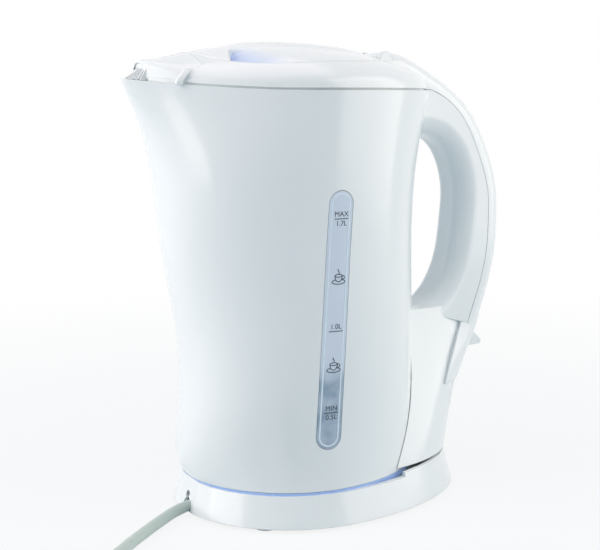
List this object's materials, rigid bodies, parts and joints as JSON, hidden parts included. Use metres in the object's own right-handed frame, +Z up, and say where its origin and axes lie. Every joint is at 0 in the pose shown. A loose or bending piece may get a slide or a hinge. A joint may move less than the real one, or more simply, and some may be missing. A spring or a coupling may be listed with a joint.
{
  "type": "electric kettle",
  "caption": "Cordless electric jug kettle with a hinged lid, a level window, a loop handle with a switch lever, and a low power base with a coiled mains cord.",
  "frame": {"origin": "bottom centre of the kettle on its base, midway between the spout tip and the back of the handle, on the plane of the feet; the mains cord is left out", "axes": "+Z up, -X towards the spout, +X towards the handle, -Y is the side with the level window"},
  "size_m": [0.3059, 0.2294, 0.2495],
  "materials": {
    "white_plastic": "gloss",
    "dark_plastic": "satin",
    "rubber": "matte",
    "steel": "satin",
    "brass": "satin",
    "cord_grey": "satin",
    "clear_plastic": "gloss",
    "blue_plastic": "satin"
  },
  "bodies": {
    "base": {"base_shell": "white_plastic", "base_plate": "dark_plastic", "base_feet": "rubber", "base_screws": "steel", "base_connector": "dark_plastic", "base_contacts": "brass", "cord_clamp": "dark_plastic", "cord_lead": "cord_grey", "cord_coil": "cord_grey", "cord_tail": "cord_grey", "plug_body": "cord_grey", "plug_pins": "brass"},
    "jug": {"jug_body": "white_plastic", "level_window": "clear_plastic", "window_seal": "rubber", "handle_body": "white_plastic", "top_cover": "white_plastic", "lid_hinge_pin": "steel", "filter_frame": "blue_plastic", "filter_mesh": "steel", "heating_element": "steel", "element_seal": "rubber", "control_unit": "dark_plastic", "control_screws": "steel", "steam_switch": "dark_plastic", "bimetal_disc": "steel", "steam_tube": "dark_plastic", "switch_pin": "steel", "jug_connector": "dark_plastic", "bottom_cover": "dark_plastic", "cover_screws": "steel"},
    "lid": {"lid_top": "white_plastic", "lid_liner": "white_plastic", "lid_seal": "rubber"},
    "switch": {"switch_lever": "white_plastic"}
  },
  "joints": [
    {"name": "jug_lift", "type": "slide", "parent": "base", "child": "jug", "axis": [0, 0, 1], "range_m": [0, 0.06]},
    {"name": "lid_hinge", "type": "hinge", "parent": "jug", "child": "lid", "pos_m": [0.033, 0, 0.242], "axis": [0, 1, 0], "range_deg": [0, 80]},
    {"name": "switch_pivot", "type": "hinge", "parent": "jug", "child": "switch", "pos_m": [0.088, 0, 0.081], "axis": [0, 1, 0], "range_deg": [0, 12], "stiffness_Nm_per_rad": 0.02}
  ]
}
